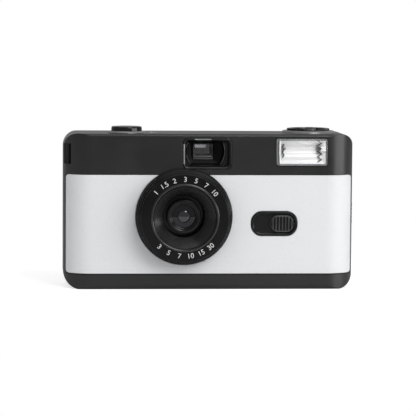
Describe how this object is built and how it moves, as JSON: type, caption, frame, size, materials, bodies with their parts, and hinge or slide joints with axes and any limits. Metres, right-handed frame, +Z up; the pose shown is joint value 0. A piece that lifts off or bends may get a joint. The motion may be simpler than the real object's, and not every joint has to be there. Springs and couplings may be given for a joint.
{
  "type": "film camera",
  "caption": "Compact 35 mm film camera with a grained front panel, hooded lens ring, viewfinder, flash, slide switch, fold-flat rewind crank and hinged back door.",
  "frame": {"origin": "on the underside, in the middle of the case's width and depth", "axes": "+X to the right seen from the front, +Y to the back, +Z up; the lens looks along -Y"},
  "size_m": [0.1153, 0.0375, 0.0636],
  "materials": {
    "black_abs": "satin moulded black plastic",
    "black_gloss": "smooth glossy black plastic",
    "dark_inside": "dull black plastic, light-tight inside",
    "panel_grain": "cool white with a fine leather grain",
    "steel": "plain steel",
    "spring_steel": "bright spring steel",
    "clear_glass": "clear acrylic",
    "lens_glass": "coated acrylic lens",
    "mirror_sheet": "polished aluminium sheet",
    "tube_glass": "clear glass tube",
    "board": "green laminate",
    "ferrite": "dark wound core with tape",
    "can": "aluminium can in a plain sleeve",
    "cell": "plain sleeved steel can",
    "contact": "bright contact strip",
    "dial_white": "white dial",
    "lamp_red": "clear red lamp"
  },
  "bodies": {
    "camera_body": {"front_cover": "black_abs", "top_cover": "black_abs", "main_body": "black_abs", "front_panel": "panel_grain", "case_screws": "steel", "strap_bar": "steel", "hinge_pin": "steel", "latch_spring": "spring_steel", "lens_ring": "black_gloss", "lens_cone": "black_abs", "lens_barrel": "black_gloss", "lens_retainer": "black_abs", "front_lens": "lens_glass", "aperture_stop": "dark_inside", "shutter_plate": "dark_inside", "rear_lens": "lens_glass", "lever_pin": "steel", "dial_post": "steel", "counter_window": "clear_glass", "finder_bezel": "black_gloss", "finder_front_lens": "clear_glass", "finder_tube": "dark_inside", "finder_eyepiece": "clear_glass", "flash_window": "clear_glass", "flash_reflector": "mirror_sheet", "flash_tube": "tube_glass", "circuit_board": "board", "flash_transformer": "ferrite", "flash_capacitor": "can", "battery": "cell", "battery_top_contact": "contact", "ready_lamp": "lamp_red", "switch_bezel": "black_gloss", "button_collar": "black_abs", "button_spring": "spring_steel"},
    "back_door": {"back_door": "black_abs", "film_window": "clear_glass", "pressure_plate": "dark_inside", "pressure_spring": "spring_steel"},
    "door_latch": {"door_latch": "black_abs"},
    "battery_door": {"battery_door": "black_abs", "battery_spring": "contact"},
    "shutter_button": {"shutter_button": "black_gloss"},
    "release_lever": {"release_lever": "dark_inside"},
    "shutter_blade": {"shutter_blade": "steel"},
    "advance_spool": {"advance_wheel": "black_abs", "take_up_spool": "dark_inside"},
    "sprocket": {"sprocket_shaft": "dark_inside"},
    "counter_dial": {"counter_dial": "dial_white"},
    "rewind_bush": {"rewind_bush": "black_abs"},
    "rewind_shaft": {"rewind_shaft": "steel", "rewind_disc": "black_gloss", "crank_pin": "steel"},
    "rewind_crank": {"rewind_crank": "black_abs"},
    "crank_handle": {"crank_handle": "black_abs"},
    "flash_switch": {"switch_knob": "black_abs", "switch_contact": "contact"},
    "rewind_release": {"rewind_release": "black_abs"}
  },
  "joints": [
    {"name": "back_door_hinge", "type": "hinge", "parent": "camera_body", "child": "back_door", "pos_m": [-0.0534, 0.01255, 0], "axis": [0, 0, 1], "range_deg": [0, 100]},
    {"name": "door_latch_slide", "type": "slide", "parent": "camera_body", "child": "door_latch", "axis": [0, 0, 1], "range_m": [0, 0.0035], "stiffness_N_per_m": 250, "springref_m": -0.002, "deforming": ["latch_spring"]},
    {"name": "battery_door_hinge", "type": "hinge", "parent": "camera_body", "child": "battery_door", "pos_m": [0.0188, -0.00438, 0.00063], "axis": [-1, 0, 0], "range_deg": [0, 95]},
    {"name": "shutter_button_press", "type": "slide", "parent": "camera_body", "child": "shutter_button", "axis": [0, 0, -1], "range_m": [0, 0.0012], "stiffness_N_per_m": 900, "springref_m": -0.0006, "deforming": ["button_spring"]},
    {"name": "release_lever_pivot", "type": "hinge", "parent": "camera_body", "child": "release_lever", "pos_m": [-0.02405, -0.005, 0.0545], "axis": [0, -1, 0], "range_deg": [0, 8.6]},
    {"name": "shutter_blade_swing", "type": "hinge", "parent": "camera_body", "child": "shutter_blade", "pos_m": [-0.0174, -0.0069, 0.0383], "axis": [0, 1, 0], "range_deg": [0, 28], "stiffness_Nm_per_rad": 0.0004, "springref_deg": -17.19},
    {"name": "advance_turn", "type": "hinge", "parent": "camera_body", "child": "advance_spool", "pos_m": [-0.0435, 0.0037, 0.056], "axis": [0, 0, 1], "continuous": true},
    {"name": "sprocket_turn", "type": "hinge", "parent": "camera_body", "child": "sprocket", "pos_m": [-0.0265, 0.00465, 0.05], "axis": [0, 0, 1], "continuous": true},
    {"name": "counter_turn", "type": "hinge", "parent": "camera_body", "child": "counter_dial", "pos_m": [-0.021, 0.005, 0.059], "axis": [0, 0, 1], "continuous": true},
    {"name": "rewind_turn", "type": "hinge", "parent": "camera_body", "child": "rewind_bush", "pos_m": [0.04, 0.0003, 0.061], "axis": [0, 0, 1], "continuous": true},
    {"name": "rewind_lift", "type": "slide", "parent": "rewind_bush", "child": "rewind_shaft", "axis": [0, 0, 1], "range_m": [0, 0.0066]},
    {"name": "crank_fold", "type": "hinge", "parent": "rewind_shaft", "child": "rewind_crank", "pos_m": [0.04, 0.00695, 0.06255], "axis": [-1, 0, 0], "range_deg": [0, 160]},
    {"name": "handle_turn", "type": "hinge", "parent": "rewind_crank", "child": "crank_handle", "pos_m": [0.04, -0.005, 0.063], "axis": [0, 0, 1], "continuous": true},
    {"name": "flash_switch_slide", "type": "slide", "parent": "camera_body", "child": "flash_switch", "axis": [-1, 0, 0], "range_m": [0, 0.0059]},
    {"name": "rewind_release_press", "type": "slide", "parent": "camera_body", "child": "rewind_release", "axis": [0, 0, 1], "range_m": [0, 0.001], "stiffness_N_per_m": 300, "springref_m": -0.0005}
  ],
  "couplings": [
    {"joint": "sprocket_turn", "follows": "advance_turn", "ratio": 0.76},
    {"joint": "counter_turn", "follows": "advance_turn", "ratio": -0.019},
    {"joint": "release_lever_pivot", "follows": "shutter_button_press", "rad_per_m": 123.6}
  ]
}
